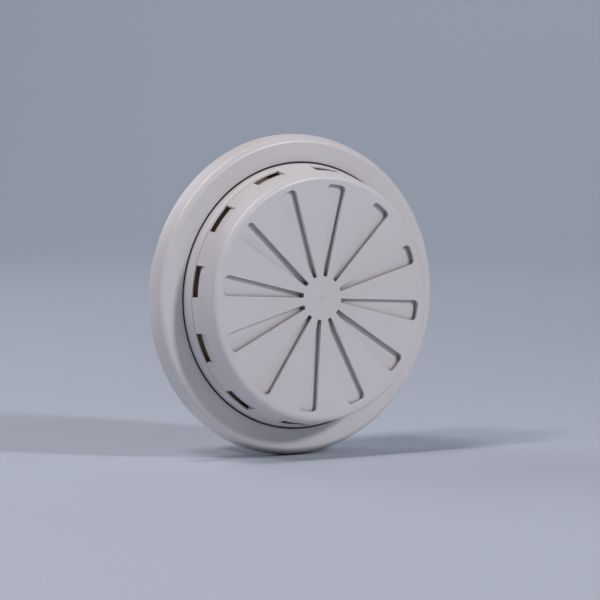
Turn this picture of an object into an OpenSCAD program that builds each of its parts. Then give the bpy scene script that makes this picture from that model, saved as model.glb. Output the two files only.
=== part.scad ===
// Round wall vent grille for a duct. A collar with a wide rim is fixed in the wall opening, a valve body
// locks into the collar, and the slotted front cap turns on the valve body to open or shut the grille.
// Everything is drawn with its axis on +Z and the front upwards, then turned so that the front faces -Y.

/* [Collar] */
// Outer diameter of the rim that covers the wall opening
rim_d = 155; // [145:1:170]
// Height of the rim's flat front above the wall
rim_h = 9.3; // [8.8:0.1:11]
// Radius of the bead that rounds the rim into its side
rim_bead = 3.7; // [2:0.1:4]
// Break in slope where the bead leaves the flat front, which shows as a fine line
rim_break = 7; // [0:1:20]
// Slope of the rim's side, from upright
rim_draft = 13; // [5:1:25]
// Height of the straight foot at the outside of the rim
rim_foot = 2.6; // [1:0.1:3.2]
// Wall thickness of the collar
collar_wall = 2.0; // [1.5:0.1:2.6]
// Bore of the socket that takes the valve body
socket_d = 128.6; // [124:0.2:134]
// Outer diameter of the spigot that goes into the duct
spigot_d = 122; // [110:1:123]
// Length of the spigot behind the wall face
spigot_len = 32; // [20:1:60]
// Thickness of the shelf between socket and spigot
shelf_t = 2.0; // [1.5:0.1:3]
// Number of stiffening ribs under the rim
rim_ribs = 24; // [8:1:36]

/* [Valve body] */
// Diameter of the conical ring where it meets the cap
ring_front_d = 124.9; // [120:0.1:126]
// Height of the ring's front edge above the wall
ring_front_z = 14.6; // [12:0.1:17]
// Gap between the ring and the rim of the collar
rim_gap = 0.6; // [0.4:0.1:1.5]
// Thickness of the ring and of the shutter disc
body_wall = 2.0; // [1.5:0.1:2.4]
// How far the wall inside the cap laps over each side window on both sides, as an angle
window_lap = 2; // [0.5:0.25:3]
// Number of bayonet lugs that lock the valve body in the collar
bayonet_lugs = 3; // [3:1:4]

/* [Cap] */
// Height of the front face above the wall
face_z = 30.4; // [26:0.1:36]
// Diameter of the front face, measured to the sharp corner
face_d = 117.8; // [112:0.2:119]
// Radius of the rounded edge of the face
face_round = 3.2; // [1:0.1:4]
// Thickness of the front plate
plate_t = 2.2; // [1.6:0.1:3]
// Thickness of the side wall, measured across the axis
side_t = 1.6; // [1.2:0.1:2]
// Gap between the cap's back edge and the ring
edge_gap = 0.35; // [0.25:0.05:0.8]

/* [Slots] */
// Number of slots in the face, and of windows in the side
slots = 12; // [8:1:14]
// Radius at which the slots start
slot_inner_r = 10.5; // [9:0.1:16]
// Radius at which the slots end
slot_outer_r = 54.4; // [40:0.1:54.5]
// Angle that each slot covers
slot_angle = 10.9; // [6:0.5:11.5]
// Radius of the slots' outer corners
slot_corner = 2.2; // [0.4:0.1:2.6]
// How far each blade laps over the slot on both sides, as an angle
blade_lap = 3; // [1:0.25:3.25]
// Gap between the front plate and the shutter disc
shutter_gap = 0.4; // [0.3:0.05:1]
// Angle that each side window covers
window_angle = 14; // [8:0.5:16]
// Height above the wall at which a side window's ramp meets the cap's side
window_top_z = 22.2; // [20:0.1:24]
// Height above the wall at which the ramp ends and the window goes through
window_sill_z = 17.3; // [16.5:0.1:19]
// Depth of the ramp at that point
window_depth = 1.2; // [0.6:0.1:1.4]

/* [Pivot] */
// Diameter of the cap's boss, which turns in the hub
boss_d = 9; // [8:0.1:10]
// Running clearance between boss and hub, on the radius
boss_clearance = 0.06; // [0.03:0.01:0.09]
// Length of the hub behind the shutter disc
hub_len = 8; // [6:0.5:12]
// Outer radius of the hub
hub_r = 9.4; // [9:0.1:10.5]
// Reach of the stop key beyond the boss
key_reach = 2.2; // [1.5:0.1:2.6]
// Width of the stop key
key_w = 2.4; // [1.6:0.1:3]
// Height of the stop key
key_h = 3; // [2:0.5:5]
// Diameter of the pivot screw's shank
screw_d = 3.5; // [3:0.1:4]
// Diameter of the pivot screw's head
screw_head_d = 8.2; // [7:0.1:9]
// Thickness of the flat washer
washer_t = 0.8; // [0.5:0.1:1.2]
// Free height of the wave washer as fitted
wave_h = 1.2; // [0.8:0.1:2]

/* [Gasket] */
// Width of the foam ring under the rim
gasket_w = 5; // [3:0.5:6]
// Thickness of the foam ring
gasket_t = 3; // [2:0.5:4]

/* [Hidden] */
$fn = 180;
tiny = 0.01;

pitch = 360 / slots;
// The cap as photographed, shut: the first slot's angle from the horizontal
phase = 21.4;

rim_r = rim_d / 2;
// Centre of the bead, placed so that the sloped side reaches the foot at the rim's full width
bead_z = rim_h - rim_bead * cos(rim_break);
bead_r = rim_r - (bead_z + rim_bead * sin(rim_draft) - rim_foot) * tan(rim_draft) - rim_bead * cos(rim_draft);
socket_r = socket_d / 2;
socket_outer_r = socket_r + collar_wall;
spigot_r = spigot_d / 2;
spigot_bore_r = spigot_r - collar_wall;
spigot_lead = 1.2;
shelf_top = shelf_t;

ring_front_r = ring_front_d / 2;
ring_back_r = socket_r - rim_gap;
ring_back_z = rim_h - 0.8;
ring_lip_t = 0.7;
ring_step = 0.2;
ring_step_z = ring_front_z - 1.7;
// Radius of the ring's slope at height z
function ring_slope_r(z) = ring_back_r + (ring_front_r + ring_step - ring_back_r) * (z - rim_h) / (ring_front_z - rim_h);
skirt_r = ring_back_r - 1.0;
skirt_inner_r = skirt_r - body_wall;

cap_back_z = ring_front_z + edge_gap;
face_r = face_d / 2;
cap_back_r = ring_front_r;
// Radius of the cap's outer cone at height z
function cone_r(z) = cap_back_r + (face_r - cap_back_r) * (z - cap_back_z) / (face_z - cap_back_z);
plate_back_z = face_z - plate_t;
disc_top = plate_back_z - shutter_gap;
disc_back = disc_top - body_wall;

// The wall inside the cap's side wall, which shuts the side windows
sleeve_gap = 0.6;
sleeve_t = 1.6;
sleeve_draft = 0.5;
// The sleeve's front edge is bevelled to clear the fillet inside the cap
inner_round = 1.2;
sleeve_bevel = inner_round;
sleeve_top_r = cone_r(disc_top - sleeve_bevel) - side_t - sleeve_gap;
disc_r = sleeve_top_r - sleeve_bevel / 2;
sleeve_window = pitch - window_angle - 2 * window_lap;

hub_back = disc_back - hub_len;
boss_r = boss_d / 2;
hub_bore_r = boss_r + boss_clearance;
pilot_r = screw_d / 2 - 0.3;
shoulder_r = 8.8;
shoulder_gap = 0.02;
wave_wall = 0.4;
wave_count = 3;
wave_r = 7.2;
boss_end = hub_back - wave_h;
washer_back = boss_end - washer_t;
screw_pilot_len = 9;
screw_head_h = 2.6;
cross_w = 1.2;
cross_len = 4.4;
cross_depth = 1.4;

open_angle = pitch / 2;
opening_angle = pitch - slot_angle - 2 * blade_lap;
lug_t = 2.0;
lug_angle = 20;
ledge_angle = 26;
ledge_top = 7.2;
lug_clearance = 0.15;
lug_top = ledge_top - lug_t - lug_clearance;
gasket_gap = 0.3;

// Points of an arc about [cx, cy] from angle a0 to a1
function arc(cx, cy, r, a0, a1, n) = [for (i = [0 : n]) let(a = a0 + (a1 - a0) * i / n) [cx + r * cos(a), cy + r * sin(a)]];
// A wedge between two radii, with its outer corners rounded
module wedge(r0, r1, angle, corner) {
    half = angle / 2;
    turn = asin(corner / (r1 - corner));
    cr = r1 - corner;
    c_up = [cr * cos(half - turn), cr * sin(half - turn)];
    c_down = [cr * cos(half - turn), -cr * sin(half - turn)];
    polygon(concat(
        [[r0 * cos(half), -r0 * sin(half)]],
        arc(c_down[0], c_down[1], corner, -90 - half, -half + turn, 6),
        arc(0, 0, r1, -half + 2 * turn, half - 2 * turn, 8),
        arc(c_up[0], c_up[1], corner, half - turn, 90 + half, 6),
        [[r0 * cos(half), r0 * sin(half)]]));
}

// A plain sector, used to cut rings into pieces
module sector(r, angle) {
    half = angle / 2;
    polygon(concat([[0, 0]], arc(0, 0, r / cos(half), -half, half, 4)));
}

module spin_copies(count, start = 0) {
    for (i = [0 : count - 1]) rotate(start + i * 360 / count) children();
}

// Rim, socket, shelf and spigot are one moulding
module collar_profile() {
    inner_bead = rim_bead - collar_wall;
    polygon(concat(
        [[socket_r, rim_h - 0.4], [socket_r + 0.4, rim_h]],
        arc(bead_r, bead_z, rim_bead, 90 - rim_break, rim_draft, 10),
        [[rim_r, rim_foot], [rim_r, 0], [rim_r - collar_wall, 0], [rim_r - collar_wall, rim_foot]],
        arc(bead_r, bead_z, inner_bead, rim_draft, 90 - rim_break, 8),
        [[socket_outer_r, rim_h - collar_wall], [socket_outer_r, 0], [spigot_r, 0],
         [spigot_r, -spigot_len + spigot_lead], [spigot_r - 0.7, -spigot_len],
         [spigot_bore_r, -spigot_len], [spigot_bore_r, shelf_top], [socket_r, shelf_top]]));
}

module wall_collar() {
    color("gainsboro") {
        rotate_extrude() collar_profile();
        spin_copies(rim_ribs, 180 / rim_ribs) rim_rib();
        spin_copies(bayonet_lugs, phase) ledge();
    }
}

// A rib under the rim, cut back for the foam ring that lies against it
module rim_rib() {
    rib_t = 1.4;
    overlap = 0.6;
    foam_r = socket_outer_r + gasket_w + 2 * gasket_gap;
    rotate([90, 0, 0])
        translate([0, 0, -rib_t / 2])
            linear_extrude(rib_t)
                polygon([[foam_r, 0.6], [rim_r - collar_wall + overlap, 0.6],
                    [rim_r - collar_wall + overlap, rim_foot], [bead_r, rim_h - collar_wall + overlap],
                    [socket_outer_r - overlap, rim_h - collar_wall + overlap], [socket_outer_r - overlap, gasket_t],
                    [foam_r, gasket_t]]);
}

// Foam ring between the socket and the ribs, flush with the rim's foot
module wall_gasket() {
    inner = socket_outer_r + gasket_gap;
    color("dimgray") difference() {
        cylinder(r = inner + gasket_w, h = gasket_t);
        translate([0, 0, -1]) cylinder(r = inner, h = gasket_t + 2);
    }
}

// An inward ledge of the socket that a bayonet lug turns under
module ledge() {
    overlap = 0.6;
    intersection() {
        translate([0, 0, ledge_top - lug_t])
            difference() {
                cylinder(r = socket_r + overlap, h = lug_t);
                translate([0, 0, -1]) cylinder(r = skirt_r + 0.3, h = lug_t + 2);
            }
        linear_extrude(face_z) sector(socket_r + 5, ledge_angle);
    }
}

// The ring that shows between the cap and the rim, with its skirt down to the shelf
module body_ring() {
    rotate_extrude()
        polygon([[skirt_inner_r, shelf_top], [skirt_r, shelf_top], [skirt_r, ledge_top + 0.3],
            [ring_back_r, ring_back_z], [ring_back_r, rim_h],
            [ring_slope_r(ring_step_z - 0.3) , ring_step_z - 0.3], [ring_slope_r(ring_step_z) - ring_step, ring_step_z],
            [ring_front_r, ring_front_z], [ring_front_r - ring_lip_t, ring_front_z],
            [ring_front_r - ring_lip_t - 0.6, ring_front_z - 2.4], [skirt_inner_r, ring_back_z + 1]]);
}

// The wall inside the cap: its windows stand between those of the cap when the grille is shut
module body_sleeve() {
    foot_z = ring_back_z - 0.5;
    foot_r = skirt_inner_r + 0.6;
    knee_z = ring_front_z - 1.4;
    knee_r = sleeve_top_r + sleeve_draft;
    window_low = ring_front_z + 0.4;
    difference() {
        rotate_extrude()
            polygon([[foot_r - sleeve_t, foot_z], [foot_r, foot_z], [knee_r, knee_z],
                [sleeve_top_r, disc_top - sleeve_bevel], [disc_r, disc_top],
                [disc_r - sleeve_t, disc_top], [disc_r - sleeve_t, disc_back],
                [sleeve_top_r - sleeve_t, disc_back - 0.5], [knee_r - sleeve_t, knee_z]]);
        translate([0, 0, window_low])
            linear_extrude(window_top_z - 1 - window_low)
                spin_copies(slots, phase + pitch / 2) sector(rim_r, sleeve_window);
    }
}

// The disc whose blades stand behind the cap's slots when the grille is shut
module shutter_disc() {
    difference() {
        translate([0, 0, disc_back]) cylinder(r = disc_r, h = body_wall);
        translate([0, 0, disc_back - 1])
            linear_extrude(body_wall + 2)
                spin_copies(slots, phase + pitch / 2) wedge(slot_inner_r, slot_outer_r, opening_angle, slot_corner);
    }
}

module valve_body() {
    gusset_t = 1.6;
    gusset_r = 24;
    color("whitesmoke") difference() {
        union() {
            body_ring();
            body_sleeve();
            shutter_disc();
            translate([0, 0, hub_back]) cylinder(r = hub_r, h = hub_len + body_wall / 2);
            // Gussets stand under the blades and stiffen the hub
            spin_copies(slots / 2, phase)
                rotate([90, 0, 0])
                    translate([0, 0, -gusset_t / 2])
                        linear_extrude(gusset_t)
                            polygon([[hub_r - 1, hub_back + 1.5], [gusset_r, disc_back - 0.8],
                                [slot_outer_r - 2, disc_back - 0.8], [slot_outer_r, disc_back + 0.5],
                                [hub_r - 1, disc_back + 0.5]]);
            spin_copies(bayonet_lugs, phase)
                bayonet_lug();
        }
        translate([0, 0, hub_back - 1]) cylinder(r = hub_bore_r, h = face_z);
        // The key's pocket: the key travels through it from shut to open
        translate([0, 0, disc_top - key_h - 0.4])
            linear_extrude(key_h + 2)
                key_pocket();
    }
}

// A lug on the skirt, turned under the collar's ledge
module bayonet_lug() {
    overlap = 0.6;
    intersection() {
        translate([0, 0, shelf_top + 0.4])
            difference() {
                cylinder(r = socket_r - 0.4, h = ledge_top - lug_t - lug_clearance - shelf_top - 0.4);
                translate([0, 0, -1]) cylinder(r = skirt_r - overlap, h = face_z);
            }
        linear_extrude(face_z) sector(rim_r, lug_angle);
    }
}

// The sector that the stop key sweeps, with its own width added
module key_pocket() {
    r = boss_r + key_reach + 0.3;
    side = key_w / 2 + 0.15;
    steps = 6;
    for (i = [0 : steps])
        rotate(phase + 90 + open_angle * i / steps)
            translate([0, -side]) square([r, 2 * side]);
}

// Side wall and front plate of the cap, with the boss and the stop key inside
module cap_shell() {
    corner = face_round;
    cone_tilt = atan((cap_back_r - face_r) / (face_z - cap_back_z));
    tangent = corner * tan((90 - cone_tilt) / 2);
    centre = [face_r - tangent, face_z - corner];
    inner_r = cone_r(plate_back_z) - side_t;
    rotate_extrude()
        polygon(concat(
            [[0, plate_back_z], [inner_r - inner_round, plate_back_z],
             [cone_r(plate_back_z - inner_round) - side_t, plate_back_z - inner_round],
             [cap_back_r - side_t, cap_back_z], [cap_back_r, cap_back_z]],
            arc(centre[0], centre[1], corner, cone_tilt, 90, 12),
            [[0, face_z]]));
}

// Each side window is open at the back edge, and its floor ramps out to the cap's surface
module side_windows() {
    deep_r = cone_r(window_sill_z) - window_depth;
    out_r = rim_r;
    intersection() {
        rotate_extrude()
            polygon([[face_r - side_t - 5, cap_back_z - 1], [out_r, cap_back_z - 1], [out_r, window_top_z + 1],
                [cone_r(window_top_z + 1), window_top_z + 1], [cone_r(window_top_z), window_top_z],
                [deep_r, window_sill_z], [face_r - side_t - 5, window_sill_z]]);
        translate([0, 0, cap_back_z - 1])
            linear_extrude(face_z) spin_copies(slots, phase) sector(rim_r, window_angle);
    }
}

module front_cap() {
    gate_r = 0.6;
    gate_h = 0.15;
    color("whitesmoke") difference() {
        union() {
            cap_shell();
            translate([0, 0, face_z - tiny]) cylinder(r = gate_r, h = gate_h + tiny, $fn = 24);
            translate([0, 0, boss_end]) cylinder(r = boss_r, h = plate_back_z - boss_end + plate_t / 2);
            translate([0, 0, disc_top + shoulder_gap]) cylinder(r = shoulder_r, h = shutter_gap + plate_t / 2);
            translate([0, 0, disc_top - key_h])
                linear_extrude(key_h + shutter_gap + plate_t / 2)
                    rotate(phase + 90)
                        translate([0, -key_w / 2]) square([boss_r + key_reach, key_w]);
        }
        translate([0, 0, plate_back_z - 1])
            linear_extrude(plate_t + 2)
                spin_copies(slots, phase) wedge(slot_inner_r, slot_outer_r, slot_angle, slot_corner);
        side_windows();
        translate([0, 0, boss_end - 1]) cylinder(r = pilot_r, h = screw_pilot_len + 1);
    }
}

// Pan head screw from behind, which holds the washers against the boss
module pivot_screw() {
    head_r = screw_head_d / 2;
    tip = 1.5;
    color("silver") difference() {
        union() {
            translate([0, 0, washer_back]) cylinder(r = screw_d / 2, h = washer_t + screw_pilot_len - tip);
            rotate_extrude()
                polygon(concat([[0, washer_back], [head_r, washer_back]],
                    [for (i = [0 : 8]) let(t = 90 * i / 8) [head_r - 1.2 + 1.2 * cos(t), washer_back - 0.9 - (screw_head_h - 0.9) * sin(t)]],
                    [[0, washer_back - screw_head_h]]));
        }
        for (a = [0, 90])
            rotate(a)
                translate([-cross_len / 2, -cross_w / 2, washer_back - screw_head_h - 1])
                    cube([cross_len, cross_w, cross_depth + 1]);
    }
}

module flat_washer() {
    color("silver") translate([0, 0, washer_back]) difference() {
        cylinder(r = wave_r + 0.6, h = washer_t);
        translate([0, 0, -1]) cylinder(r = screw_d / 2 + 0.2, h = washer_t + 2);
    }
}

// A spring washer whose crests press on the hub and whose troughs press on the flat washer
module wave_washer() {
    inner = boss_r + 0.25;
    steps = 72;
    lift = (wave_h - wave_wall) / 2;
    mid = boss_end + wave_h / 2;
    function wave_z(i) = mid + (lift - 0.02) * sin(wave_count * i * 360 / steps);
    ring = [for (i = [0 : steps - 1]) let(a = i * 360 / steps, z = wave_z(i))
        each [[inner * cos(a), inner * sin(a), z - wave_wall / 2], [wave_r * cos(a), wave_r * sin(a), z - wave_wall / 2],
              [wave_r * cos(a), wave_r * sin(a), z + wave_wall / 2], [inner * cos(a), inner * sin(a), z + wave_wall / 2]]];
    faces = [for (i = [0 : steps - 1], k = [0 : 3]) let(j = (i + 1) % steps, m = (k + 1) % 4)
        [4 * i + k, 4 * i + m, 4 * j + m, 4 * j + k]];
    color("dimgray") polyhedron(ring, faces, convexity = 4);
}

module in_place() {
    rotate([90, 0, 0]) children();
}

in_place() wall_collar();
in_place() wall_gasket();
in_place() valve_body();
in_place() front_cap();
in_place() pivot_screw();
in_place() flat_washer();
in_place() wave_washer();
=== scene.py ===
import bpy, bmesh, math
from mathutils import Matrix, Vector


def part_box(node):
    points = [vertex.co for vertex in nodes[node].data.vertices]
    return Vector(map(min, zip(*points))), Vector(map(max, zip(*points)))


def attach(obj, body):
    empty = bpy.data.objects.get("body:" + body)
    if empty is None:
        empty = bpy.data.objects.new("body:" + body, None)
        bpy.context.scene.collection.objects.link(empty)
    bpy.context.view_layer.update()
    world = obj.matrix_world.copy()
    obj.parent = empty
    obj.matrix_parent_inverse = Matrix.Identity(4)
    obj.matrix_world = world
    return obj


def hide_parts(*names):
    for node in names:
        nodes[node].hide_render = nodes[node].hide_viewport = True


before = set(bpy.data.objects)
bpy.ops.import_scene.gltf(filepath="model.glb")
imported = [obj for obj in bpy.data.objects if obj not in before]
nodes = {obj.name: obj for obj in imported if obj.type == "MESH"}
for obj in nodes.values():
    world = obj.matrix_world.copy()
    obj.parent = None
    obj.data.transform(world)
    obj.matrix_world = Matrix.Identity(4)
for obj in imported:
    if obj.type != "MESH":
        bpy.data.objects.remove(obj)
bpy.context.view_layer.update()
mm = 0.001

# the rim stands on the floor, and the camera looks at the face
rim = {"radius": 77.5 * mm, "faceY": -30.4 * mm}

cameraSet = {
    "azimuth": -30.94, "elevation": 4.15, "distance": 1567.35 * mm,  # from the middle of the face
    "aside": 10.75 * mm, "below": 0.88 * mm,  # how far left of and below that line the camera stands
    "focal": 3294, "frame": 600,  # pixels
    "sensor": 36, "near": 0.05, "far": 20,
}


def show(thing):
    bpy.context.scene.collection.objects.link(thing)


def placeCamera(settings):
    turn, lift = math.radians(settings["azimuth"]), math.radians(settings["elevation"])
    back = Vector((math.sin(turn) * math.cos(lift), -math.cos(turn) * math.cos(lift), math.sin(lift)))
    right = Vector((math.cos(turn), math.sin(turn), 0))
    up = back.cross(right)
    data = bpy.data.cameras.new("photoCamera")
    data.sensor_width = settings["sensor"]
    data.lens = settings["sensor"] * settings["focal"] / settings["frame"]
    data.clip_start, data.clip_end = settings["near"], settings["far"]
    camera = bpy.data.objects.new("photoCamera", data)
    show(camera)
    face = Vector((0, rim["faceY"], 0))
    place = face + back * settings["distance"] - right * settings["aside"] - up * settings["below"]
    aim = Matrix((right, up, back)).transposed().to_4x4()
    camera.matrix_world = Matrix.Translation(place) @ aim
    bpy.context.scene.camera = camera


grille = (0, -0.01, 0)  # where the lights point
lightSet = [  # name, place, target, size, power, colour
    ("keyLight", (0.72, -1.50, 0.84), grille, 0.24, 13.6, (0.965, 0.95, 1.0)),
    ("topLight", (-0.50, -0.05, 1.35), grille, 0.35, 5.2, (1.0, 0.94, 0.96)),
    ("sideLight", (-0.95, -0.14, 1.20), grille, 0.24, 5.2, (1.0, 0.94, 0.95)),
    ("backLight", (-0.55, 1.25, 0.95), grille, 1.1, 5.5, (0.94, 0.95, 1.0)),
    ("wallLight", (0.9, 0.9, 1.9), (1.4, 3.0, 0.5), 0.9, 15.0, (0.94, 0.96, 1.0)),
]
roomSet = {"colour": (0.70, 0.76, 0.92, 1), "strength": 0.04}


def areaLight(name, place, target, size, power, colour):
    data = bpy.data.lights.new(name, "AREA")
    data.shape = "DISK"
    data.size, data.energy, data.color = size, power, colour
    light = bpy.data.objects.new(name, data)
    show(light)
    light.location = place
    light.rotation_euler = (Vector(target) - Vector(place)).to_track_quat("-Z", "Y").to_euler()


def fillRoom(settings):
    world = bpy.data.worlds.new("paleRoom")
    world.use_nodes = True
    glow = world.node_tree.nodes["Background"]
    glow.inputs["Color"].default_value = settings["colour"]
    glow.inputs["Strength"].default_value = settings["strength"]
    bpy.context.scene.world = world
    bpy.context.scene.view_settings.view_transform = "Standard"


floorSet = {
    "middle": 0.5, "flat": 1.7, "bend": 1.3,  # radii of the middle, the flat part and the bend
    "wall": 2.2,  # height
    "parts": 72, "bendSteps": 14, "colour": (0.55, 0.60, 0.68, 1), "rough": 0.75,
}


def makeFloor(settings):  # a round floor that bends up into a wall, so every view has the same plain ground
    ground, parts = -rim["radius"], settings["parts"]
    flat, bend, steps = settings["flat"], settings["bend"], settings["bendSteps"]
    line = [(settings["middle"], 0.0), (flat, 0.0)]  # radius and height of each ring of corners
    for step in range(1, steps + 1):
        turn = math.pi / 2 * step / steps
        line.append((flat + bend * math.sin(turn), bend - bend * math.cos(turn)))
    line.append((flat + bend, settings["wall"]))
    turns = [(math.cos(math.tau * k / parts), math.sin(math.tau * k / parts)) for k in range(parts)]
    verts = [(0, 0, ground)] + [(r * c, r * s, ground + z) for r, z in line for c, s in turns]
    faces = [(0, 1 + k, 1 + (k + 1) % parts) for k in range(parts)]
    for ring in range(len(line) - 1):
        a, b = 1 + ring * parts, 1 + (ring + 1) * parts
        faces += [(a + k, b + k, b + (k + 1) % parts, a + (k + 1) % parts) for k in range(parts)]
    mesh = bpy.data.meshes.new("studioFloor")
    mesh.from_pydata(verts, [], faces)
    mesh.shade_smooth()
    floor = bpy.data.objects.new("studioFloor", mesh)
    show(floor)
    material = bpy.data.materials.new("paleFloor")
    material.use_nodes = True
    shader = material.node_tree.nodes["Principled BSDF"]
    shader.inputs["Base Color"].default_value = settings["colour"]
    shader.inputs["Roughness"].default_value = settings["rough"]
    mesh.materials.append(material)


placeCamera(cameraSet)
for light in lightSet:
    areaLight(*light)
fillRoom(roomSet)
makeFloor(floorSet)
print("camera, lights and floor are in place")


class NodeDesk:  # short calls for laying out one node tree
    def __init__(self, tree):
        self.tree = tree

    def add(self, kind):
        return self.tree.nodes.new(kind)

    def join(self, a, b):
        self.tree.links.new(a, b)


def fill(desk, socket, value):  # a plain value is set on the socket, an output is joined to it
    if isinstance(value, (tuple, float)):
        socket.default_value = value
    else:
        desk.join(value, socket)


def noise(desk, coords, scale, detail=3.0, rough=0.55):
    node = desk.add("ShaderNodeTexNoise")
    node.inputs["Scale"].default_value = scale
    node.inputs["Detail"].default_value = detail
    node.inputs["Roughness"].default_value = rough
    desk.join(coords, node.inputs["Vector"])
    return node.outputs["Fac"]


def ramp(desk, source, low, high, start=0, end=1):
    node = desk.add("ShaderNodeMapRange")
    for key, value in zip(("From Min", "From Max", "To Min", "To Max"), (low, high, start, end)):
        node.inputs[key].default_value = value
    desk.join(source, node.inputs["Value"])
    return node.outputs["Result"]


def mixColour(desk, factor, a, b):
    node = desk.add("ShaderNodeMix")
    node.data_type = "RGBA"
    for socket, value in ((node.inputs["Factor"], factor), (node.inputs[6], a), (node.inputs[7], b)):
        fill(desk, socket, value)
    return node.outputs[2]  # 6, 7 and this 2 are the Mix node's colour sockets


def bump(desk, height, distance, strength, normal=None):
    node = desk.add("ShaderNodeBump")
    node.inputs["Distance"].default_value = distance
    node.inputs["Strength"].default_value = strength
    desk.join(height, node.inputs["Height"])
    if normal is not None:
        desk.join(normal, node.inputs["Normal"])
    return node.outputs["Normal"]


def figure(desk, kind, *values):  # one step of arithmetic
    node = desk.add("ShaderNodeMath")
    node.operation = kind
    for socket, value in zip(node.inputs, values):
        fill(desk, socket, value)
    return node.outputs["Value"]


def newMaterial(name):
    material = bpy.data.materials.new(name)
    material.use_nodes = True
    desk = NodeDesk(material.node_tree)
    shader = material.node_tree.nodes["Principled BSDF"]
    coords = desk.add("ShaderNodeTexCoord").outputs["Object"]
    return material, desk, shader, coords


def axisReach(desk, coords):  # distance from the turning axis, and the split coordinates
    split = desk.add("ShaderNodeSeparateXYZ")
    desk.join(coords, split.inputs["Vector"])
    flat = desk.add("ShaderNodeCombineXYZ")
    desk.join(split.outputs["X"], flat.inputs["X"])
    desk.join(split.outputs["Z"], flat.inputs["Y"])
    reach = desk.add("ShaderNodeVectorMath")
    reach.operation = "LENGTH"
    desk.join(flat.outputs["Vector"], reach.inputs[0])
    return reach.outputs["Value"], split


# painted shade: where the brown painted shade behind the side windows lies, and how it fades
sleeveShadeTint = {
    "wall": 65.3 * mm, "slope": 0.62, "knee": 13.2 * mm,  # its inner edge closes in by the slope to the knee
    "lip": 61.7 * mm, "foot": 8.0 * mm,  # its outer radius, and how far in front of the wall it starts
    "wallFade": 0.3 * mm, "lipFade": 0.5 * mm, "footFade": 0.6 * mm,
    "patchFrom": 0.3, "patchTo": 0.6, "patchLow": 0.78, "patchHigh": 0.98,
}


def shadedSleeve(desk, coords, tone, speck, colour, settings):
    # painted shade: the sleeve and the trench behind the side windows are painted brown, standing in for the
    # shade and warm bounced light in that recess
    wall, lip, foot = settings["wall"], settings["lip"], settings["foot"]
    reach, split = axisReach(desk, coords)
    height = figure(desk, "MULTIPLY", split.outputs["Y"], -1.0)
    slant = figure(desk, "MULTIPLY", figure(desk, "MINIMUM", height, settings["knee"]), settings["slope"])
    edge = figure(desk, "ADD", reach, slant)
    outside = ramp(desk, edge, wall, wall + settings["wallFade"])
    ahead = ramp(desk, height, foot, foot + settings["footFade"])
    share = figure(desk, "MULTIPLY", outside, ahead)
    share = figure(desk, "MULTIPLY", share, ramp(desk, reach, lip - settings["lipFade"], lip, 1, 0))
    patches = ramp(desk, speck, settings["patchFrom"], settings["patchTo"],
                   settings["patchLow"], settings["patchHigh"])
    return mixColour(desk, figure(desk, "MULTIPLY", share, patches), tone, colour), share


plasticSet = {
    "toneScale": 14, "toneFrom": 0.35, "toneTo": 0.68,
    "pale": (0.765, 0.745, 0.745, 1), "warm": (0.74, 0.705, 0.685, 1),
    "speckScale": 900, "speckFrom": 0.62, "speckTo": 0.78, "speckShare": 0.25, "speck": (0.60, 0.57, 0.52, 1),
    # painted shade in corners and recesses: its reach, where it starts and ends, its strength, rays and colour
    "shadeReach": 0.003, "shadeFrom": 0.70, "shadeTo": 0.15, "shadeShare": 0.8, "shadeRays": 6,
    "cornerShade": (0.22, 0.18, 0.17, 1),
    "patchFiner": 4, "patchFrom": 0.3, "patchTo": 0.7, "roughLow": 0.335, "roughHigh": 0.42,
    "waveScale": 55, "waveDepth": 0.0001, "waveShare": 0.6,
    "grainScale": 2600, "grainDepth": 0.00003, "grainShare": 0.55,
    "glow": 0.06, "glowColour": (1.0, 0.62, 0.36), "glowDepth": 0.0022, "gloss": 1.52,
}
bodySet = {
    # the body's painted corner shade is near black
    **plasticSet, "shadeReach": 0.0032, "shadeShare": 0.95, "cornerShade": (0.07, 0.05, 0.05, 1),
    # painted shade: the brown colour painted on the sleeve behind the side windows
    "sleeveShade": (0.42, 0.29, 0.205, 1),
}
collarSet = {
    **plasticSet, "toneScale": 11, "pale": (0.765, 0.735, 0.735, 1), "roughHigh": 0.375,
    # the collar's painted shade reaches far, so the rim is painted darker beside the ring
    "shadeReach": 0.010, "shadeFrom": 0.84, "shadeShare": 0.95, "cornerShade": (0.22, 0.19, 0.195, 1),
}


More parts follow.
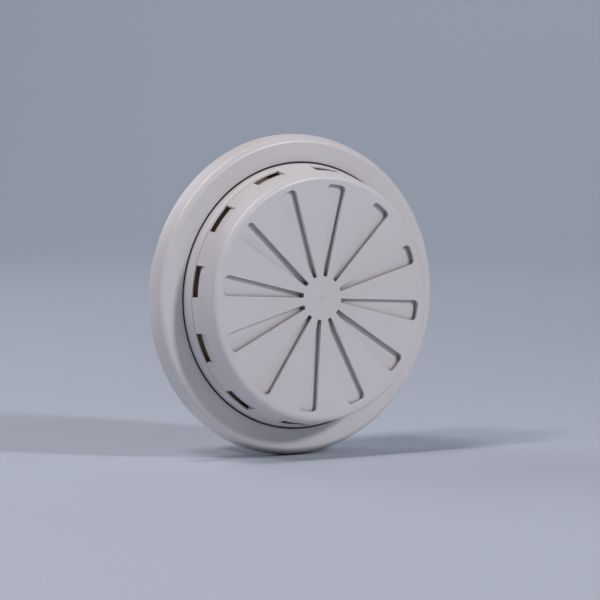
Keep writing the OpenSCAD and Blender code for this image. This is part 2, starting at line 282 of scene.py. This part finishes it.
def mouldedPlastic(name, settings):
    # off-white ABS: slow yellowing, faint flow marks, a fine spark-eroded grain and painted shade in the corners
    material, desk, shader, coords = newMaterial(name)
    slow = noise(desk, coords, settings["toneScale"], detail=2.0)
    aged = ramp(desk, slow, settings["toneFrom"], settings["toneTo"])
    tone = mixColour(desk, aged, settings["pale"], settings["warm"])
    speck = noise(desk, coords, settings["speckScale"], detail=4.0, rough=0.7)
    specks = ramp(desk, speck, settings["speckFrom"], settings["speckTo"], 0, settings["speckShare"])
    tone = mixColour(desk, specks, tone, settings["speck"])
    # painted shade: the colour darkens where ambient occlusion finds corners and recesses
    hollow = desk.add("ShaderNodeAmbientOcclusion")
    hollow.inputs["Distance"].default_value = settings["shadeReach"]
    hollow.samples = settings["shadeRays"]
    cornerShadeShare = ramp(desk, hollow.outputs["AO"], settings["shadeFrom"], settings["shadeTo"],
                   0, settings["shadeShare"])
    tone = mixColour(desk, cornerShadeShare, tone, settings["cornerShade"])
    patch = noise(desk, coords, settings["toneScale"] * settings["patchFiner"])
    rough = ramp(desk, patch, settings["patchFrom"], settings["patchTo"],
                 settings["roughLow"], settings["roughHigh"])
    # painted shade: the sleeve behind the side windows is painted brown, and made rougher there
    if "sleeveShade" in settings:
        tone, sleeveShadeShare = shadedSleeve(desk, coords, tone, speck, settings["sleeveShade"], sleeveShadeTint)
        rough = figure(desk, "MAXIMUM", rough, sleeveShadeShare)
    desk.join(tone, shader.inputs["Base Color"])
    desk.join(rough, shader.inputs["Roughness"])
    wave = noise(desk, coords, settings["waveScale"], detail=1.5)
    grain = noise(desk, coords, settings["grainScale"], detail=2.0, rough=0.6)
    normal = bump(desk, wave, settings["waveDepth"], settings["waveShare"])
    normal = bump(desk, grain, settings["grainDepth"], settings["grainShare"], normal)
    desk.join(normal, shader.inputs["Normal"])
    shader.inputs["IOR"].default_value = settings["gloss"]
    shader.inputs["Subsurface Weight"].default_value = settings["glow"]
    shader.inputs["Subsurface Radius"].default_value = settings["glowColour"]
    shader.inputs["Subsurface Scale"].default_value = settings["glowDepth"]
    return material


foamSet = {
    "cellScale": 1500, "cellFrom": 0.05, "cellTo": 0.55, "cellDepth": 0.0003, "cellShare": 0.9,
    # the pit colour is painted shade inside the open cells
    "pit": (0.012, 0.012, 0.013, 1), "skin": (0.05, 0.05, 0.052, 1),
    "mottleScale": 120, "mottleFrom": 0.4, "mottleTo": 0.7, "mottleShare": 0.5,
    "faded": (0.08, 0.078, 0.074, 1),
    "patchFrom": 0.3, "roughLow": 0.82, "roughHigh": 0.95,
}


def foamRubber(name, settings):  # open cells, dull, with a paler broken skin
    material, desk, shader, coords = newMaterial(name)
    cells = desk.add("ShaderNodeTexVoronoi")
    cells.inputs["Scale"].default_value = settings["cellScale"]
    desk.join(coords, cells.inputs["Vector"])
    pit = ramp(desk, cells.outputs["Distance"], settings["cellFrom"], settings["cellTo"])
    mottle = noise(desk, coords, settings["mottleScale"])
    # painted shade: the pores of the open cells are painted darker than the skin
    tone = mixColour(desk, pit, settings["pit"], settings["skin"])
    worn = ramp(desk, mottle, settings["mottleFrom"], settings["mottleTo"], 0, settings["mottleShare"])
    tone = mixColour(desk, worn, tone, settings["faded"])
    desk.join(tone, shader.inputs["Base Color"])
    rough = ramp(desk, mottle, settings["patchFrom"], settings["mottleTo"],
                 settings["roughLow"], settings["roughHigh"])
    desk.join(rough, shader.inputs["Roughness"])
    desk.join(bump(desk, pit, settings["cellDepth"], settings["cellShare"]), shader.inputs["Normal"])
    return material


zincSet = {
    "cloudScale": 420, "cloudFrom": 0.35, "cloudTo": 0.7,
    "bright": (0.70, 0.70, 0.71, 1), "sleeveShadeShare": (0.56, 0.565, 0.58, 1),
    "lineScale": 9000, "lineDepth": 0.00001, "lineShare": 0.5,
    "patchFrom": 0.3, "roughLow": 0.26, "roughHigh": 0.42,
}
washerSet = {**zincSet, "lineScale": 12000}
springSet = {
    **zincSet, "cloudScale": 300, "bright": (0.46, 0.46, 0.48, 1), "sleeveShadeShare": (0.36, 0.35, 0.35, 1),
    "lineScale": 7000, "roughLow": 0.3, "roughHigh": 0.45,
}


def platedSteel(name, settings):  # a faint cloud in the plating, over turning lines round the axis
    material, desk, shader, coords = newMaterial(name)
    cloud = noise(desk, coords, settings["cloudScale"])
    clouded = ramp(desk, cloud, settings["cloudFrom"], settings["cloudTo"])
    desk.join(mixColour(desk, clouded, settings["bright"], settings["sleeveShadeShare"]), shader.inputs["Base Color"])
    reach = axisReach(desk, coords)[0]
    lines = desk.add("ShaderNodeTexNoise")
    lines.noise_dimensions = "1D"
    lines.inputs["Scale"].default_value = settings["lineScale"]
    desk.join(reach, lines.inputs["W"])
    normal = bump(desk, lines.outputs["Fac"], settings["lineDepth"], settings["lineShare"])
    desk.join(normal, shader.inputs["Normal"])
    rough = ramp(desk, cloud, settings["patchFrom"], settings["cloudTo"],
                 settings["roughLow"], settings["roughHigh"])
    desk.join(rough, shader.inputs["Roughness"])
    shader.inputs["Metallic"].default_value = 1.0
    return material


bodyPlastic = mouldedPlastic("bodyPlastic", bodySet)
springSteel = platedSteel("springSteel", springSet)
nodeFinish = {
    "front_cap": mouldedPlastic("capPlastic", plasticSet),
    "valve_body": bodyPlastic,
    "wall_collar": mouldedPlastic("collarPlastic", collarSet),
    "wall_gasket": foamRubber("gasketFoam", foamSet),
    "pivot_screw": platedSteel("screwZinc", zincSet),
    "flat_washer": platedSteel("washerZinc", washerSet),
    "wave_washer": springSteel,
}
for name, material in nodeFinish.items():
    mesh = nodes[name].data
    mesh.materials.clear()
    mesh.materials.append(material)
print("materials are on", len(nodeFinish), "nodes")

# six nodes are shown by copies whose sharp edges are rounded, as a mould or a press leaves them
edgeSet = {
    "front_cap": {"round": 0.26 * mm, "body": "cap", "slot": "cap_plastic"},
    "valve_body": {"round": 0.18 * mm, "body": "housing", "slot": "body_plastic"},
    "wall_collar": {"round": 0.22 * mm, "body": "housing", "slot": "collar_plastic"},
    "wall_gasket": {"round": 0.40 * mm, "body": "housing", "slot": "foam"},
    "pivot_screw": {"round": 0.10 * mm, "body": "cap", "slot": "screw_steel"},
    "flat_washer": {"round": 0.09 * mm, "body": "cap", "slot": "washer_steel"},
}
softSet = {
    "merge": 2e-6, "level": math.radians(0.4),  # what counts as one corner and as one flat face
    "sharp": math.radians(28), "steps": 2, "profile": 0.5,  # which edges are rounded, and how
    "crease": math.radians(32), "weight": 60,  # where the shading breaks, and how far the large faces rule it
}


def settle(piece):  # the modifiers' result becomes the piece's own mesh
    plain = bpy.data.meshes.new_from_object(piece.evaluated_get(bpy.context.evaluated_depsgraph_get()))
    piece.modifiers.clear()
    piece.data = plain


def roundedCopy(name, settings, soft):
    mesh = nodes[name].data.copy()
    work = bmesh.new()
    work.from_mesh(mesh)
    bmesh.ops.remove_doubles(work, verts=work.verts, dist=soft["merge"])
    bmesh.ops.dissolve_limit(work, angle_limit=soft["level"], verts=work.verts, edges=work.edges)
    work.normal_update()
    sharp = [e for e in work.edges if len(e.link_faces) == 2 and e.calc_face_angle(0) > soft["sharp"]]
    bmesh.ops.bevel(work, geom=sharp, offset=settings["round"], offset_type="OFFSET", segments=soft["steps"],
                    profile=soft["profile"], affect="EDGES", clamp_overlap=True)
    bmesh.ops.triangulate(work, faces=[f for f in work.faces if len(f.verts) > 4])
    work.to_mesh(mesh)
    work.free()
    mesh.shade_smooth()
    mesh.set_sharp_from_angle(angle=soft["crease"])
    piece = bpy.data.objects.new("soft_" + name, mesh)
    show(piece)
    weigh = piece.modifiers.new("flatFaces", "WEIGHTED_NORMAL")
    weigh.keep_sharp, weigh.weight, weigh.mode = True, soft["weight"], "FACE_AREA"
    settle(piece)
    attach(piece, settings["body"])
    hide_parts(name)
    print(name, "has", len(sharp), "rounded edges and", len(piece.data.polygons), "faces")


for name, settings in edgeSet.items():
    roundedCopy(name, settings, softSet)


def newTree(name, inputs):
    tree = bpy.data.node_groups.new(name, "GeometryNodeTree")
    tree.is_modifier = True
    for socket, kind in (("Geometry", "Geometry"), *inputs, ("Finish", "Material")):
        tree.interface.new_socket(name=socket, in_out="INPUT", socket_type="NodeSocket" + kind)
    tree.interface.new_socket(name="Geometry", in_out="OUTPUT", socket_type="NodeSocketGeometry")
    desk = NodeDesk(tree)
    return tree, desk, desk.add("NodeGroupInput")


def endTree(desk, given, shape):
    real = desk.add("GeometryNodeRealizeInstances")
    desk.join(shape, real.inputs["Geometry"])
    paint = desk.add("GeometryNodeSetMaterial")
    desk.join(real.outputs["Geometry"], paint.inputs["Geometry"])
    desk.join(given.outputs["Finish"], paint.inputs["Material"])
    result = desk.add("NodeGroupOutput")
    desk.join(paint.outputs["Geometry"], result.inputs["Geometry"])


def circleOf(desk, given, points, radius):
    circle = desk.add("GeometryNodeMeshCircle")
    desk.join(given.outputs[points], circle.inputs["Vertices"])
    desk.join(given.outputs[radius], circle.inputs["Radius"])
    return circle.outputs["Mesh"]


def socketOf(tree, name):
    items = tree.interface.items_tree
    return next(item.identifier for item in items if item.name == name and item.in_out == "INPUT")


def grow(name, tree, inputs, depth, turn, crease):  # the tree's result as a plain mesh round the axis
    piece = bpy.data.objects.new(name, bpy.data.meshes.new(name))
    show(piece)
    growth = piece.modifiers.new("growth", "NODES")
    growth.node_group = tree
    for key, value in inputs.items():
        growth[socketOf(tree, key)] = value
    settle(piece)
    upright = Matrix.Translation((0, depth, 0)) @ Matrix.Rotation(math.radians(90), 4, "X")
    piece.data.transform(upright @ Matrix.Rotation(math.radians(turn), 4, "Z"))
    piece.data.shade_smooth()
    piece.data.set_sharp_from_angle(angle=math.radians(crease))
    return piece


def waveTree():
    # a circle is waved up and down, then a flat strip with rounded edges is swept round it
    tree, desk, given = newTree("wavedSpringRing", (
        ("Steps", "Int"), ("Waves", "Int"), ("Middle Radius", "Float"),
        ("Strip Width", "Float"), ("Strip Thickness", "Float"), ("Wave Lift", "Float"),
        ("Edge Radius", "Float"), ("Edge Steps", "Int")))
    circle = circleOf(desk, given, "Steps", "Middle Radius")
    split = desk.add("ShaderNodeSeparateXYZ")
    desk.join(desk.add("GeometryNodeInputPosition").outputs["Position"], split.inputs["Vector"])
    turn = figure(desk, "ARCTAN2", split.outputs["Y"], split.outputs["X"])
    swing = figure(desk, "SINE", figure(desk, "MULTIPLY", turn, given.outputs["Waves"]))
    lift = figure(desk, "MULTIPLY", swing, given.outputs["Wave Lift"])
    rise = desk.add("ShaderNodeCombineXYZ")
    desk.join(lift, rise.inputs["Z"])
    waved = desk.add("GeometryNodeSetPosition")
    desk.join(circle, waved.inputs["Geometry"])
    desk.join(rise.outputs["Vector"], waved.inputs["Offset"])
    path = desk.add("GeometryNodeMeshToCurve")
    desk.join(waved.outputs["Geometry"], path.inputs["Mesh"])
    upright = desk.add("GeometryNodeSetCurveNormal")
    upright.mode = "Z_UP"
    desk.join(path.outputs["Curve"], upright.inputs["Curve"])
    strip = desk.add("GeometryNodeCurvePrimitiveQuadrilateral")
    desk.join(given.outputs["Strip Width"], strip.inputs["Width"])
    desk.join(given.outputs["Strip Thickness"], strip.inputs["Height"])
    soften = desk.add("GeometryNodeFilletCurve")
    soften.mode = "POLY"
    desk.join(given.outputs["Edge Steps"], soften.inputs["Count"])
    desk.join(given.outputs["Edge Radius"], soften.inputs["Radius"])
    desk.join(strip.outputs["Curve"], soften.inputs["Curve"])
    sweep = desk.add("GeometryNodeCurveToMesh")
    desk.join(upright.outputs["Curve"], sweep.inputs["Curve"])
    desk.join(soften.outputs["Curve"], sweep.inputs["Profile Curve"])
    endTree(desk, given, sweep.outputs["Mesh"])
    return tree


ringSet = {
    "node": "wave_washer", "steps": 180, "waves": 3, "inner": 4.75 * mm, "outer": 7.2 * mm, "wall": 0.4 * mm,
    "edge": 0.09 * mm, "edgeSteps": 3, "crease": 50,
}


def makeSpringRing(settings):  # it lies between the hub and the flat washer, as high as its CAD node
    low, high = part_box(settings["node"])
    width = settings["outer"] - settings["inner"]
    piece = grow("springRing", waveTree(), {
        "Steps": settings["steps"], "Waves": settings["waves"],
        "Middle Radius": settings["inner"] + width / 2, "Strip Width": width, "Strip Thickness": settings["wall"],
        "Wave Lift": (high[1] - low[1] - settings["wall"]) / 2,
        "Edge Radius": settings["edge"], "Edge Steps": settings["edgeSteps"], "Finish": springSteel,
    }, (low[1] + high[1]) / 2, 0, settings["crease"])
    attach(piece, "housing")
    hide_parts(settings["node"])
    print("the spring ring has", len(piece.data.polygons), "faces")


def markTree():
    # a raised pin mark is instanced on a circle of points, each a little larger or smaller
    tree, desk, given = newTree("ringOfPinMarks", (
        ("Count", "Int"), ("Ring Radius", "Float"), ("Mark Radius", "Float"), ("Mark Height", "Float"),
        ("Mark Sides", "Int"), ("Smallest", "Float"), ("Largest", "Float"), ("Seed", "Int")))
    circle = circleOf(desk, given, "Count", "Ring Radius")
    rod = desk.add("GeometryNodeMeshCylinder")
    desk.join(given.outputs["Mark Sides"], rod.inputs["Vertices"])
    desk.join(given.outputs["Mark Radius"], rod.inputs["Radius"])
    desk.join(given.outputs["Mark Height"], rod.inputs["Depth"])
    vary = desk.add("FunctionNodeRandomValue")
    desk.join(given.outputs["Smallest"], vary.inputs[2])  # 2, 3 and 1 are its sockets for plain numbers
    desk.join(given.outputs["Largest"], vary.inputs[3])
    desk.join(given.outputs["Seed"], vary.inputs["Seed"])
    place = desk.add("GeometryNodeInstanceOnPoints")
    desk.join(circle, place.inputs["Points"])
    desk.join(rod.outputs["Mesh"], place.inputs["Instance"])
    desk.join(vary.outputs[1], place.inputs["Scale"])
    endTree(desk, given, place.outputs["Instances"])
    return tree


# what the ejector pins leave on the back of the blades, in two rings round the axis
pinMarks = {
    "count": 6, "first": 51.4, "backFace": -25.8 * mm, "thick": 0.24 * mm,  # half of the thickness is proud
    "sides": 40, "smallest": 0.9, "largest": 1.1, "crease": 40,
}
markSet = {
    "bladeMarks": {**pinMarks, "ring": 46.0 * mm, "radius": 2.0 * mm, "seed": 3},
    "innerBladeMarks": {**pinMarks, "ring": 30.0 * mm, "radius": 1.5 * mm, "seed": 5},
}


def makeMarks(name, tree, settings):
    piece = grow(name, tree, {
        "Count": settings["count"], "Ring Radius": settings["ring"], "Mark Radius": settings["radius"],
        "Mark Height": settings["thick"], "Mark Sides": settings["sides"], "Smallest": settings["smallest"],
        "Largest": settings["largest"], "Seed": settings["seed"], "Finish": bodyPlastic,
    }, settings["backFace"], settings["first"], settings["crease"])
    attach(piece, "housing")
    print(name, "are in place")


makeSpringRing(ringSet)
pinTree = markTree()
for name, settings in markSet.items():
    makeMarks(name, pinTree, settings)
